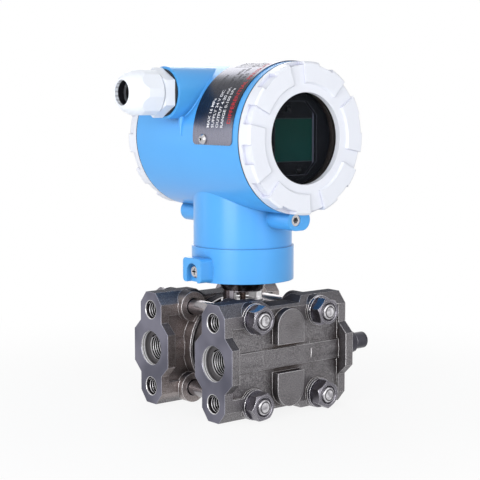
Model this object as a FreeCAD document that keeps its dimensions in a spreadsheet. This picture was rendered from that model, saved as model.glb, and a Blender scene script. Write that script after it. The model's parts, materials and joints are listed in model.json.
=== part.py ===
"""Differential pressure transmitter: two steel process flanges clamped on a sensor capsule,
a slotted sensor neck, and a two-compartment housing with screwed covers and a cable gland.

Frame: origin at the centre of the process faces (the manifold bolt pattern), +Z up, the
process ports and the gland face -X, the display faces -Y.  Sizes are in millimetres.
"""

import FreeCAD, Part
import os

import Sketcher
from FreeCAD import Placement, Rotation, Vector

# ---------------------------------------------------------------- driving sizes
SIZES = {
    # process flanges; "reach" is from the process face to the neck axis
    "reach": 41.2, "port_y": 27.0, "flange_half": 30.0, "end_half": 9.3, "bulge_half": 15.2,
    "crown_half": 4.2, "shoulder_z": 24.0, "waist_z": 14.2, "bulge_z": 8.7, "end_block": 5.0,
    "field_depth": 1.3, "arm_z": 17.8, "rib_z": 5.0, "rib_height": 1.4, "boss_end": 16.5,
    "port_boss_r": 9.8, "notch_half": 10.0, "notch_slope": 4.0, "notch_depth": 3.2,
    "lug_pad_half": 8.9, "lug_pad_low": 7.4, "lug_pad_high": 25.4, "lug_pad_height": 4.5,
    "inner_rim_r": 26.0, "inner_rim_y": 12.5, "stud_rim_y": 14.6,
    # process ports
    "recess_r": 9.2, "recess_depth": 4.0, "port_r": 7.0, "port_depth": 18.0,
    "bolt_z": 20.65, "bolt_hole_r": 4.9, "bolt_hole_depth": 13.0,
    "passage_r": 2.5, "cell_hole_x": 5.0, "cell_r": 20.0, "cell_depth": 1.0,
    # clamp studs
    "stud_x": 22.0, "stud_z": 22.0, "stud_r": 4.0, "stud_hole_r": 4.5, "stud_boss_r": 8.0,
    "washer_r": 7.8, "washer_thick": 1.6, "nut_flats": 6.5, "nut_high": 6.5, "stud_over": 0.6,
    "stud_chamfer": 0.9, "nut_sink": 1.1,
    # vent valves
    "vent_thread_r": 5.8, "vent_depth": 11.0, "vent_flats": 6.1, "vent_seat_long": 13.6,
    "vent_stem_r": 3.0, "vent_knob_r": 4.5, "vent_knob_long": 8.9, "vent_gap": 0.8,
    # sensor capsule and neck
    "capsule_r": 25.0, "capsule_half": 12.0, "weld_r": 26.0, "weld_long": 1.1, "weld_groove_r": 23.8,
    "saddle_r": 11.6, "neck_base_z": 25.4, "tube_r": 10.8, "tube_bore_r": 7.6,
    "slot_top_z": 30.8, "slot_half_angle": 64.5, "cone_low_z": 31.4, "cone_r": 14.0,
    "spigot_r": 18.0, "spigot_long": 14.0, "lead_r": 1.55, "seal_groove": 1.6,
    # housing
    "collar_low_z": 37.2, "collar_high_z": 55.2, "collar_r": 27.2, "neck_r": 26.2,
    "barrel_z": 112.5, "barrel_r": 38.4, "barrel_half": 42.8, "thread_wall": 2.9,
    "thread_long": 11.0, "chamber_wall": 5.8, "wall_front_y": 8.0, "wall_back_y": 3.0,
    "entry_y": 8.0, "entry_drop": 15.6, "entry_boss_r": 13.4, "entry_stand": 6.8,
    "entry_bore_r": 9.6, "lock_drop": 3.1, "lock_r": 5.4, "lock_step": 4.0, "lock_screw_r": 3.0,
    "lock_screw_long": 7.0, "ground_face_x": 34.0, "ground_half": 7.7, "ground_top_z": 50.3,
    "ground_drop": 0.5, "ground_recess_r": 4.4, "ground_recess_z": 43.2, "ground_recess_deep": 3.0,
    "ground_head_r": 3.3, "ground_head_high": 1.6, "ground_shank_r": 1.9,
    # covers; stations are measured outward from the cover's seat
    "seal_gap": 0.8, "cover_step": 0.1, "cover_rim": 2.5, "cover_ring": 6.6, "cover_top": 7.8,
    "glass_seat": 5.6, "sector_wide": 11.1, "notch_deep": 1.7, "notch_angle": 15.0,
    "spigot_wall": 4.0, "spigot_cover_long": 10.0, "glass_ledge": 2.6, "glass_thick": 3.0,
    "glass_lip": 3.4, "glass_gasket": 0.5, "retainer_wide": 4.0, "retainer_thick": 4.1,
    "seal_margin": 0.8, "seal_inset": 0.2,
    # nameplate
    "plate_thick": 0.5, "plate_bed": 0.05, "plate_margin": 3.8, "plate_wide": 31.3,
    "plate_angle": 120.5, "plate_corner": 2.5, "plate_screw_r": 2.65, "plate_screw_shank": 1.2,
    "plate_screw_inset": 8.7, "plate_screw_end": 1.6,
    # cable gland and blanking plug
    "gland_gasket": 1.1, "gland_washer_r": 12.0, "gland_flats": 11.0, "gland_hex_long": 5.9, "gland_thread_r": 9.4,
    "gland_thread_long": 9.8, "gland_bore_r": 6.6, "gland_seat_r": 8.2, "gland_nut_r": 11.9,
    "gland_nut_flats": 11.25, "gland_nut_gap": 0.7, "gland_nut_long": 18.4, "gland_dome_long": 8.9,
    "gland_mouth_r": 6.3, "cable_r": 5.8, "sleeve_long": 7.6, "sleeve_play": 0.4, "seat_deep": 7.0,
    "seat_slope": 1.5, "plug_head_r": 12.2, "plug_head": 3.4,
    # display and electronics
    "display_inset": 0.6, "bezel_gap": 1.0, "bezel_thick": 3.2, "bezel_recess": 1.8,
    "recess_side": 9.8, "recess_rim": 5.0, "recess_cut": 6.6, "screen_side": 1.9,
    "screen_rim": 7.8, "screen_low": 0.95, "bezel_screw_x": 3.5, "bezel_screw_rim": 3.0,
    "module_gap": 3.6, "module_long": 9.0, "board_gap": 2.2, "board_thick": 1.6,
    "terminal_half_x": 22.0, "terminal_drop": 20.5, "terminal_rise": 8.5,
    "terminal_thick": 11.0, "terminal_pitch": 14.0, "terminal_screw_r": 3.4,
    # fits
    "fit": 0.06, "gap": 0.3,
}

# sizes that follow from others through a named wall, step, inset or clearance
FOLLOWS = {
    "thread_bore_r": "barrel_r - thread_wall", "chamber_r": "barrel_r - chamber_wall",
    "cover_r": "barrel_r - cover_step", "notch_floor_r": "cover_r - notch_deep",
    "sector_r": "cover_r - sector_wide", "spigot_cover_r": "thread_bore_r - gap",
    "spigot_cover_bore": "spigot_cover_r - spigot_wall",
    "glass_r": "spigot_cover_bore - glass_ledge", "window_r": "glass_r - glass_seat",
    "retainer_bore": "glass_r - retainer_wide", "bezel_r": "retainer_bore - bezel_gap",
    "seal_in_r": "thread_bore_r + seal_inset", "seal_out_r": "barrel_r - seal_margin",
    "module_r": "chamber_r - module_gap", "board_r": "chamber_r - board_gap",
    "display_y": "barrel_half - display_inset",
    "plate_right_y": "barrel_half - plate_margin", "plate_left_y": "plate_right_y - plate_wide",
    "recess_half_x": "bezel_r - recess_side", "recess_half_z": "bezel_r - recess_rim",
    "screen_half_x": "recess_half_x - screen_side", "screen_half_z": "recess_half_z - screen_rim",
    "bezel_screw_z": "recess_half_z - bezel_screw_rim",
    "entry_z": "barrel_z + barrel_r - entry_drop", "entry_face_x": "barrel_r + entry_stand",
    "lock_z": "barrel_z - barrel_r - lock_drop",
    "terminal_low_z": "barrel_z - terminal_drop", "terminal_high_z": "barrel_z + terminal_rise",
}

doc = FreeCAD.newDocument("pressure_transmitter")
sheet = doc.addObject("Spreadsheet::Sheet", "Sizes")
for row, (alias, size) in enumerate(SIZES.items(), 2):
    sheet.set(f"A{row}", alias)
    sheet.set(f"B{row}", str(size))
    sheet.setAlias(f"B{row}", alias)
doc.recompute()


# ---------------------------------------------------------------- helpers
def terms(text):
    """A sum such as 'cover_r + 0.5*gap' as signs and factors, with the sizes that follow written out."""
    sign, found = 1, []
    for word in str(text).split():
        if word in ("+", "-"):
            sign = -1 if word == "-" else 1
            continue
        factors = word.split("*")
        derived = next((f for f in factors if f in FOLLOWS), None)
        if derived:
            factors.remove(derived)
            found += [(sign * inner_sign, factors + inner)
                      for inner_sign, inner in terms(FOLLOWS[derived])]
        else:
            found.append((sign, factors))
    return found


def number(text):
    """The value of a sum."""
    total = 0.0
    for sign, factors in terms(text):
        product = float(sign)
        for factor in factors:
            product *= SIZES[factor] if factor in SIZES else float(factor)
        total += product
    return total


def formula(text):
    """The same sum as an expression on the sheet's cells."""
    written = []
    for sign, factors in terms(text):
        product = "*".join(f"Sizes.{f}" if f in SIZES else f for f in factors)
        if written:
            written.append("-" if sign < 0 else "+")
        elif sign < 0:
            product = "-1*" + product
        written.append(product)
    return " ".join(written)


def minus(text):
    """The negative of a sum."""
    first, *rest = str(text).split()
    first = first[3:] if first.startswith("-1*") else "-1*" + first
    return " ".join([first] + [{"+": "-", "-": "+"}.get(word, word) for word in rest])


def bind(thing, **properties):
    for name, text in properties.items():
        thing.setExpression(name, formula(text))


TURN = {
    "z": Rotation(), "-z": Rotation(Vector(1, 0, 0), 180),
    "x": Rotation(Vector(0, 1, 0), 90), "-x": Rotation(Vector(0, 1, 0), -90),
    "y": Rotation(Vector(1, 0, 0), -90), "-y": Rotation(Vector(1, 0, 0), 90),
}


def put(thing, at=("0", "0", "0"), along="z", spin=0.0):
    """Stand a piece made about its own Z at a point of the frame, its Z turned along an axis."""
    rotation = along if isinstance(along, Rotation) else TURN[along]
    thing.Placement = Placement(Vector(), rotation * Rotation(Vector(0, 0, 1), spin))
    for axis, text in zip("xyz", at):
        thing.setExpression(f"Placement.Base.{axis}", formula(text))
    return thing


def cylinder(name, radius, length, at, along="z"):
    made = doc.addObject("Part::Cylinder", name)
    bind(made, Radius=radius, Height=length)
    return put(made, at, along)


def cone(name, low, high, length, at, along="z"):
    made = doc.addObject("Part::Cone", name)
    bind(made, Radius1=low, Radius2=high, Height=length)
    return put(made, at, along)


def box(name, low, size):
    made = doc.addObject("Part::Box", name)
    bind(made, Length=size[0], Width=size[1], Height=size[2])
    return put(made, low)


def prism(name, flats, length, at, along="z", spin=0.0):
    """A hexagonal bar; flats is half the width across flats."""
    made = doc.addObject("Part::Prism", name)
    bind(made, Circumradius=f"{flats}*1.1547005", Height=length)
    return put(made, at, along, spin)


def union(name, *pieces):
    made = doc.addObject("Part::MultiFuse", name)
    made.Shapes = list(pieces)
    made.Refine = True
    return made


def overlap(name, *pieces):
    made = doc.addObject("Part::MultiCommon", name)
    made.Shapes = list(pieces)
    return made


def less(name, base, *tools):
    """base with every tool cut away."""
    made = doc.addObject("Part::Cut", name)
    made.Base = base
    made.Tool = tools[0] if len(tools) == 1 else union(name + "_cuts", *tools)
    return made


def group(name, pieces):
    """Alike pieces kept as separate solids of one node."""
    made = doc.addObject("Part::Compound", name)
    made.Links = list(pieces)
    return made


def draw(sketch, corners):
    """A closed outline whose every corner is held by the sheet's values."""
    points = [Vector(number(u), number(v), 0) for u, v in corners]
    count = len(points)
    sketch.addGeometry([Part.LineSegment(points[i], points[(i + 1) % count])
                        for i in range(count)], False)
    sketch.addConstraint([Sketcher.Constraint("Coincident", i, 2, (i + 1) % count, 1)
                          for i in range(count)])
    for i, corner in enumerate(corners):
        for kind, text, on_axis in (("DistanceX", corner[0], -2), ("DistanceY", corner[1], -1)):
            if text == "0":
                sketch.addConstraint(Sketcher.Constraint("PointOnObject", i, 1, on_axis))
            else:
                held = sketch.addConstraint(
                    Sketcher.Constraint(kind, -1, 1, i, 1, number(text)))
                sketch.setExpression(f"Constraints[{held}]", formula(text))


def bar(name, corners, length, at, along):
    """An outline extruded along an axis; its corners are given in the turned frame's X and Y."""
    flat = doc.addObject("Sketcher::SketchObject", name + "_outline")
    draw(flat, corners)
    put(flat, at, along)
    made = doc.addObject("Part::Extrusion", name)
    made.Base = flat
    made.DirMode = "Normal"
    made.Solid = True
    bind(made, LengthFwd=length)
    return made


def section(body, name, corners):
    """A half-section in the body's own XZ plane: radius, then station along its Z axis."""
    flat = body.newObject("Sketcher::SketchObject", name)
    plane = next(f for f in body.Origin.OriginFeatures if f.Role == "XZ_Plane")
    flat.AttachmentSupport = [(plane, "")]
    flat.MapMode = "FlatFace"
    draw(flat, corners)
    return flat


def turned(name, corners, at=("0", "0", "0"), along="z", spin=0.0, angle=None):
    """A body turned from a half-section about its own Z axis."""
    body = doc.addObject("PartDesign::Body", name)
    profile = section(body, name + "_section", corners)
    made = body.newObject("PartDesign::Revolution", name + "_turned")
    made.Profile = profile
    made.ReferenceAxis = (profile, ["V_Axis"])
    made.Angle = 360.0
    if angle:
        bind(made, Angle=angle)
    put(body, at, along, spin)
    return body


def grooves(body, name, corners, angle, count):
    """Wedge-shaped cuts about the body's axis, evenly spaced."""
    profile = section(body, name + "_section", corners)
    cut = body.newObject("PartDesign::Groove", name)
    cut.Profile = profile
    cut.ReferenceAxis = (profile, ["V_Axis"])
    cut.Midplane = True
    cut.Angle = number(angle)
    bind(cut, Angle=angle)
    doc.recompute()
    ring = body.newObject("PartDesign::PolarPattern", name + "_ring")
    ring.Originals = [cut]
    ring.Axis = (profile, ["V_Axis"])
    ring.Angle = 360.0
    ring.Occurrences = count
    body.Tip = ring
    doc.recompute()


def rounded(name, base, radius, is_wanted):
    """base with the edges that pass a test rounded."""
    doc.recompute()
    made = doc.addObject("Part::Fillet", name)
    made.Base = base
    size = number(radius)
    made.Edges = [(i, size, size) for i, edge in enumerate(base.Shape.Edges, 1) if is_wanted(edge)]
    return made


def runs_along(edge, direction):
    """True for a straight edge parallel to a direction."""
    if edge.Curve.TypeId != "Part::GeomLine":
        return False
    return abs(edge.Curve.Direction.dot(direction)) > 0.999


def ring(name, inner, outer, thick, at, along="z"):
    return turned(name, [(inner, "0"), (outer, "0"), (outer, thick), (inner, thick)], at, along)


NODES = {}


def node(name, piece):
    piece.Label = name
    NODES[name] = piece
    return piece


# ---------------------------------------------------------------- process flanges
# One flange is drawn on the -Y side; a second one, turned over, closes the capsule's other side.
FACE_Y = "-1*port_y"
PAD_Y = "port_y + end_half"
FIELD_Y = "port_y + end_half - field_depth"
INNER_Y = "port_y - end_half"
INNER_FIELD_Y = "port_y - end_half + field_depth"


def outline(*corners):
    """A closed outline made symmetric both ways from the corners of its upper right quarter."""
    right = list(corners) + [(u, minus(v)) for u, v in reversed(corners)]
    return right + [(minus(u), v) for u, v in reversed(right)]


def flange():
    across = Rotation(Vector(0, 1, 0), Vector(0, 0, 1), Vector(1, 0, 0), "ZXY")
    crown, shoulder = ("crown_half", "flange_half"), ("end_half", "shoulder_z")
    beam = bar("flange_beam", outline(crown, shoulder), "2*reach", ("0", FACE_Y, "0"), across)
    solids = [beam]
    for side, x in (("ports", "0"), ("vent", "2*reach - end_block")):
        solids.append(bar(
            f"flange_end_{side}",
            outline(crown, shoulder, ("end_half", "waist_z"), ("bulge_half", "bulge_z")),
            "end_block", (x, FACE_Y, "0"), across))

    # recessed fields on the outer and the inner side, between the end blocks
    cuts = []
    for face, y in (("outer", minus(PAD_Y)), ("inner", minus(INNER_FIELD_Y))):
        cuts.append(box(f"field_ports_{face}", ("end_block", y, "-1*arm_z"),
                        ("reach - end_block", "field_depth", "2*arm_z")))
        cuts.append(box(f"field_middle_{face}", ("reach - stud_x", y, "-1*flange_half"),
                        ("stud_x + stud_x", "field_depth", "2*flange_half")))
        cuts.append(box(f"field_vent_{face}", ("reach", y, "-1*shoulder_z"),
                        ("reach - end_block", "field_depth", "2*shoulder_z")))
    body = less("flange_body", union("flange_blank", *solids), *cuts)

    # what stands on the fields: stud bosses, port bosses, rib, bracket pads, capsule rim
    raised = [body]
    for i, (sx, sz) in enumerate(((-1, -1), (-1, 1), (1, -1), (1, 1))):
        x, z = f"reach + {sx}*stud_x", f"{sz}*stud_z"
        raised.append(cylinder(f"stud_boss_{i}", "stud_boss_r", "port_y + end_half - stud_rim_y",
                               (x, minus(PAD_Y), z), "y"))
    for side, x in (("ports", "end_block"), ("vent", "reach + boss_end")):
        raised.append(cylinder(f"port_boss_{side}", "port_boss_r", "reach - end_block - boss_end",
                               (x, FACE_Y, "0"), "x"))
    raised.append(box("rib", ("end_block", minus(FIELD_Y + " + rib_height"), "-1*rib_z"),
                      ("2*reach - 2*end_block", "rib_height + rib_height", "2*rib_z")))
    for side, sign in (("top", 1), ("bottom", -1)):
        arch_z = f"{sign}*lug_pad_high - {sign}*lug_pad_half"
        raised.append(cylinder(f"bracket_pad_arch_{side}", "lug_pad_half",
                               "lug_pad_height + lug_pad_height",
                               ("reach", minus(FIELD_Y + " + lug_pad_height"), arch_z), "y"))
        low = "lug_pad_low" if sign > 0 else "-1*lug_pad_high + lug_pad_half"
        raised.append(box(f"bracket_pad_{side}",
                          ("reach - lug_pad_half", minus(FIELD_Y + " + lug_pad_height"), low),
                          ("2*lug_pad_half", "lug_pad_height + lug_pad_height",
                           "lug_pad_high - lug_pad_half - lug_pad_low")))
    raised.append(cylinder("capsule_rim", "inner_rim_r", "port_y - inner_rim_y",
                           ("reach", FACE_Y, "0"), "y"))
    raised = union("flange_raised", *raised)

    # notches in the top and bottom edges, then the ports, bolt holes, stud holes and passages
    holes = []
    for side, sign in (("top", 1), ("bottom", -1)):
        edge, floor = f"{sign}*flange_half", f"{sign}*flange_half - {sign}*notch_depth"
        over = f"{sign}*flange_half + {sign}*notch_depth"
        slope = "notch_half + notch_slope"
        holes.append(bar(f"edge_notch_{side}",
                         [("-1*notch_half", floor), ("notch_half", floor), (slope, edge),
                          (slope, over), (minus(slope), over), (minus(slope), edge)],
                         "2*end_half + end_half", ("reach", "-1*port_y + end_half + 0.2*end_half", "0"),
                         "-y"))
    holes.append(cylinder("port_recess", "recess_r", "recess_depth", ("0", FACE_Y, "0"), "x"))
    holes.append(cylinder("port_bore", "port_r", "port_depth", ("0", FACE_Y, "0"), "x"))
    holes.append(cone("port_drill_point", "port_r", "passage_r", "port_r - passage_r",
                      ("port_depth", FACE_Y, "0"), "x"))
    for i, sign in enumerate((-1, 1)):
        holes.append(cylinder(f"bolt_hole_{i}", "bolt_hole_r", "bolt_hole_depth",
                              ("0", FACE_Y, f"{sign}*bolt_z"), "x"))
    for i, (sx, sz) in enumerate(((-1, -1), (-1, 1), (1, -1), (1, 1))):
        holes.append(cylinder(f"stud_hole_{i}", "stud_hole_r", "2*port_y",
                              (f"reach + {sx}*stud_x", "-2*port_y", f"{sz}*stud_z"), "y"))
    holes.append(cylinder("flow_passage", "passage_r", "2*reach - vent_depth - port_depth",
                          ("port_depth", FACE_Y, "0"), "x"))
    holes.append(cylinder("vent_bore", "vent_thread_r + fit", "vent_depth",
                          ("2*reach - vent_depth", FACE_Y, "0"), "x"))
    holes.append(cylinder("cell_hole", "passage_r", "port_y",
                          ("reach - cell_hole_x", FACE_Y, "0"), "y"))
    holes.append(cylinder("cell_recess", "cell_r", "cell_depth + port_y",
                          ("reach", "-1*inner_rim_y - cell_depth", "0"), "y"))
    return less("flange_front", raised, *holes)


high_flange = flange()
node("process_flange_high", high_flange)


def copy(name, source, at, along, spin=0.0):
    made = doc.addObject("App::Link", name)
    made.LinkedObject = source
    return put(made, at, along, spin)


# the rear flange is the same casting turned half a turn about X
node("process_flange_low", group("flange_rear", [
    copy("flange_turned", high_flange, ("0", "0", "0"), Rotation(Vector(1, 0, 0), 180))]))

# ---------------------------------------------------------------- clamp studs, washers, nuts
STUD_END_Y = PAD_Y + " + washer_thick + nut_high + stud_over"
stud = turned("stud", [("0", "0"), ("stud_r - stud_chamfer", "0"), ("stud_r", "0.6*stud_chamfer"),
                       ("stud_r", f"{STUD_END_Y} - 0.6*stud_chamfer + {STUD_END_Y}"),
                       ("stud_r - stud_chamfer", f"{STUD_END_Y} + {STUD_END_Y}"),
                       ("0", f"{STUD_END_Y} + {STUD_END_Y}")])
washer = ring("washer", "stud_r + gap", "washer_r", "washer_thick",
              ("0", "0", "0"))
nut_blank = turned("nut_blank", [("stud_r + 0.5*gap", "0"), ("nut_flats", "0"),
                                 ("1.16*nut_flats", "0.16*nut_flats"),
                                 ("1.16*nut_flats", "nut_high - 0.16*nut_flats"),
                                 ("0.96*nut_flats", "nut_high"), ("stud_r + nut_sink", "nut_high"),
                                 ("stud_r + 0.5*gap", "nut_high - nut_sink")])
nut = overlap("nut", nut_blank, prism("nut_hexagon", "nut_flats", "nut_high", ("0", "0", "0")))

studs, washers, nuts = [], [], []
for i, (sx, sz) in enumerate(((-1, -1), (-1, 1), (1, -1), (1, 1))):
    x, z = f"reach + {sx}*stud_x", f"{sz}*stud_z"
    studs.append(copy(f"stud_{i}", stud, (x, minus(STUD_END_Y), z), "y"))
    for side, out in (("front", "-y"), ("rear", "y")):
        seat = minus(PAD_Y) if side == "front" else PAD_Y
        seat_nut = (minus(PAD_Y + " + washer_thick") if side == "front"
                    else PAD_Y + " + washer_thick")
        washers.append(copy(f"washer_{side}_{i}", washer, (x, seat, z), out))
        nuts.append(copy(f"nut_{side}_{i}", nut, (x, seat_nut, z), out, 8.0 + 13.0 * i))
node("flange_studs", group("studs", studs))
node("flange_washers", group("washers", washers))
node("flange_nuts", group("nuts", nuts))

# ---------------------------------------------------------------- vent valves
for side, y in (("high", FACE_Y), ("low", "port_y")):
    seat_hex = prism(f"vent_hexagon_{side}", "vent_flats", "vent_seat_long",
                     ("2*reach", y, "0"), "x")
    seat_blank = turned(f"vent_blank_{side}",
                        [("0", "0"), ("1.06*vent_flats", "0"),
                         ("1.06*vent_flats", "vent_seat_long - 1.2"),
                         ("vent_flats - 1.0", "vent_seat_long"), ("0", "vent_seat_long")],
                        ("2*reach", y, "0"), "x")
    thread = cylinder(f"vent_thread_{side}", "vent_thread_r", "vent_depth",
                      ("2*reach - vent_depth", y, "0"), "x")
    seat = union(f"vent_seat_body_{side}",
                 overlap(f"vent_head_{side}", seat_hex, seat_blank), thread)
    stem_hole = cylinder(f"vent_stem_hole_{side}", "vent_stem_r + fit", "vent_seat_long + vent_depth",
                         ("2*reach - vent_depth + 4.0", y, "0"), "x")
    orifice = cylinder(f"vent_orifice_{side}", "0.5*vent_stem_r", "vent_depth",
                       ("2*reach - vent_depth", y, "0"), "x")
    node(f"vent_seat_{side}", less(f"vent_seat_made_{side}", seat, stem_hole, orifice))
    knob_start = "vent_seat_long + vent_depth - 4.0 + vent_gap"
    node(f"vent_screw_{side}", turned(
        f"vent_screw_made_{side}",
        [("0", "0"), ("vent_stem_r - 0.8", "0"), ("vent_stem_r", "0.8"), ("vent_stem_r", knob_start),
         ("vent_knob_r", knob_start), ("vent_knob_r", knob_start + " + vent_knob_long - 1.4"),
         ("vent_knob_r - 1.4", knob_start + " + vent_knob_long"),
         ("0", knob_start + " + vent_knob_long")],
        ("2*reach - vent_depth + 4.0", y, "0"), "x"))

# ---------------------------------------------------------------- sensor capsule and neck
capsule = turned("capsule_turned", [
    ("0", "-1*capsule_half"), ("weld_r", "-1*capsule_half"),
    ("weld_r", "-1*capsule_half + weld_long"), ("weld_groove_r", "-1*capsule_half + weld_long"),
    ("weld_groove_r", "-1*capsule_half + 1.5*weld_long"),
    ("capsule_r", "-1*capsule_half + 1.5*weld_long"), ("capsule_r", "capsule_half - 1.5*weld_long"),
    ("weld_groove_r", "capsule_half - 1.5*weld_long"), ("weld_groove_r", "capsule_half - weld_long"),
    ("weld_r", "capsule_half - weld_long"), ("weld_r", "capsule_half"), ("0", "capsule_half")],
    ("reach", "0", "0"), "y")
saddle = cylinder("neck_saddle", "saddle_r", "neck_base_z", ("reach", "0", "0"))
dishes = [cylinder(f"dish_{side}", "cell_r", "1.0", ("reach", y, "0"), "y")
          for side, y in (("front", "-1*capsule_half"), ("rear", "capsule_half - 1.0"))]
node("capsule_body", less("capsule", union("capsule_blank", capsule, saddle), *dishes))
for side, y, gasket_y in (("high", "-1*capsule_half + 0.5", "-1*inner_rim_y"),
                          ("low", "capsule_half - 0.8", "capsule_half")):
    node(f"isolating_diaphragm_{side}",
         cylinder(f"diaphragm_{side}", "cell_r - 0.02", "0.3", ("reach", y, "0"), "y"))
    node(f"process_gasket_{side}",
         ring(f"gasket_{side}", "cell_r + 0.4", "weld_r - 2.0", "inner_rim_y - capsule_half",
              ("reach", gasket_y, "0"), "y"))

neck_top = "collar_low_z + spigot_long"
groove_low = "collar_low_z + 0.5*spigot_long"
neck = turned("neck_turned", [
    ("tube_bore_r", "neck_base_z"), ("tube_r", "neck_base_z"), ("tube_r", "cone_low_z"),
    ("cone_r", "collar_low_z"), ("spigot_r", "collar_low_z"), ("spigot_r", groove_low),
    ("spigot_r - seal_groove", groove_low), ("spigot_r - seal_groove", groove_low + " + 2*seal_groove"),
    ("spigot_r", groove_low + " + 2*seal_groove"), ("spigot_r", neck_top),
    ("tube_bore_r", neck_top)], ("reach", "0", "0"))
# two windows, facing -Y and +Y, leave a post on each side
windows = [turned(f"neck_window_{side}", [
    ("0.4*tube_bore_r", "neck_base_z + 0.8"), ("cone_r", "neck_base_z + 0.8"),
    ("cone_r", "slot_top_z"), ("0.4*tube_bore_r", "slot_top_z")], ("reach", "0", "0"), "z",
    facing - SIZES["slot_half_angle"], "2*slot_half_angle")
    for side, facing in (("front", -90.0), ("rear", 90.0))]
node("sensor_neck", less("neck", neck, *windows))
node("lead_tube", cylinder("lead", "lead_r", neck_top + " - neck_base_z",
                           ("reach", "0", "neck_base_z")))
node("neck_seal", ring("neck_ring", "spigot_r - seal_groove + 0.02", "spigot_r",
                       "2*seal_groove - 0.1", ("reach", "0", groove_low + " + 0.05")))

# ---------------------------------------------------------------- housing
BARREL_FRONT, BARREL_REAR = "-1*barrel_half", "barrel_half"
X_AXIS, Z_AXIS = Vector(1, 0, 0), Vector(0, 0, 1)


def lock_lug(side, sign):
    """Lug below the barrel that carries a cover lock screw: a flat oval running along Y."""
    y = BARREL_FRONT if sign < 0 else "0"
    solids = [cylinder(f"lock_lug_{side}_{i}", "lock_r", "barrel_half",
                       (f"reach + {-sign * i}*lock_step", y, "lock_z"), "y") for i in (0, 1)]
    low_x = "reach" if sign < 0 else "reach - lock_step"
    solids.append(box(f"lock_lug_{side}_web", (low_x, y, "lock_z - lock_r"),
                      ("lock_step", "barrel_half", "2*lock_r")))
    return solids


ground_block = rounded("ground_lug_rounded", box(
    "ground_lug", ("reach - ground_face_x", "-1*ground_half", "collar_low_z + ground_drop"),
    ("ground_face_x - 0.8*collar_r", "2*ground_half", "ground_top_z - collar_low_z - ground_drop")),
    "0.28*ground_half", lambda edge: runs_along(edge, X_AXIS))
shell = union(
    "housing_solid",
    cylinder("barrel", "barrel_r", "2*barrel_half", ("reach", BARREL_FRONT, "barrel_z"), "y"),
    cylinder("neck_column", "neck_r", "barrel_z - collar_low_z", ("reach", "0", "collar_low_z")),
    cylinder("collar", "collar_r", "collar_high_z - collar_low_z", ("reach", "0", "collar_low_z")),
    cylinder("entry_bosses", "entry_boss_r", "2*entry_face_x",
             ("reach - entry_face_x", "entry_y", "entry_z"), "x"),
    ground_block, *lock_lug("front", -1), *lock_lug("rear", 1))

GROUND_FLOOR_X = "reach - ground_face_x + ground_recess_deep"
shell_cuts = [
    cylinder("front_thread_bore", "thread_bore_r", "thread_long",
             ("reach", BARREL_FRONT, "barrel_z"), "y"),
    cylinder("front_chamber", "chamber_r", "barrel_half - wall_front_y",
             ("reach", BARREL_FRONT, "barrel_z"), "y"),
    cylinder("rear_thread_bore", "thread_bore_r", "thread_long",
             ("reach", "barrel_half - thread_long", "barrel_z"), "y"),
    cylinder("rear_chamber", "chamber_r", "barrel_half + wall_back_y",
             ("reach", "-1*wall_back_y", "barrel_z"), "y"),
    cylinder("entry_bore", "entry_bore_r", "2*entry_face_x",
             ("reach - entry_face_x", "entry_y", "entry_z"), "x"),
    cylinder("neck_socket", "spigot_r + fit", "spigot_long + 2.0", ("reach", "0", "collar_low_z")),
    cylinder("lead_way", "lead_r + 2.0", "barrel_z - collar_low_z",
             ("reach", "-1*spigot_r + lead_r + 2.5", "collar_low_z + spigot_long")),
    cylinder("ground_recess", "ground_recess_r", "ground_recess_deep",
             ("reach - ground_face_x", "0", "ground_recess_z"), "x"),
    box("ground_recess_mouth", ("reach - ground_face_x", "-1*ground_recess_r", "collar_low_z"),
        ("ground_recess_deep", "2*ground_recess_r", "ground_recess_z - collar_low_z")),
    cylinder("ground_hole", "ground_shank_r + fit", "5.0",
             (GROUND_FLOOR_X, "0", "ground_recess_z"), "x"),
]
for side, y, along in (("front", BARREL_FRONT, "y"), ("rear", BARREL_REAR, "-y")):
    shell_cuts.append(cylinder(f"lock_hole_{side}", "lock_screw_r + fit", "lock_screw_long + 0.6",
                               ("reach", y, "lock_z"), along))

# the nameplate wraps the barrel above its -X side; its two screws stand radially
PLATE_LOW = 184.5
SCREW_STATIONS = (("low", 180.5, "plate_left_y + plate_screw_inset"),
                  ("high", 68.0, "plate_right_y - plate_screw_inset"))


def radial(angle):
    """Rotation that turns Z outward from the barrel's axis at an angle above +X."""
    return Rotation(Vector(0, 1, 0), 90.0 - angle)


plate_screws, plate_cuts = [], []
SHANK_END = "chamber_r + plate_screw_end"
PLATE_FOOT = "barrel_r + plate_bed"
foot = PLATE_FOOT + " + plate_thick"
for side, angle, station in SCREW_STATIONS:
    spot = ("reach", minus(station), "barrel_z")
    plate_cuts.append(turned(f"plate_hole_{side}", [
        ("0", SHANK_END), ("plate_screw_shank + fit", SHANK_END),
        ("plate_screw_shank + fit", "1.1*barrel_r"), ("0", "1.1*barrel_r")],
        spot, radial(angle)))
    plate_screws.append(turned(f"plate_screw_{side}", [
        ("0", SHANK_END), ("plate_screw_shank", SHANK_END), ("plate_screw_shank", foot),
        ("plate_screw_r", foot), ("plate_screw_r", foot + " + 0.19*plate_screw_r"),
        ("0.75*plate_screw_r", foot + " + 0.53*plate_screw_r"),
        ("0.3*plate_screw_r", foot + " + 0.68*plate_screw_r"),
        ("0.3*plate_screw_r", foot + " + 0.34*plate_screw_r"),
        ("0", foot + " + 0.34*plate_screw_r")], spot, radial(angle)))
node("housing", less("housing_made", shell, *shell_cuts, *plate_cuts))
node("nameplate_screws", group("plate_screws", plate_screws))

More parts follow.
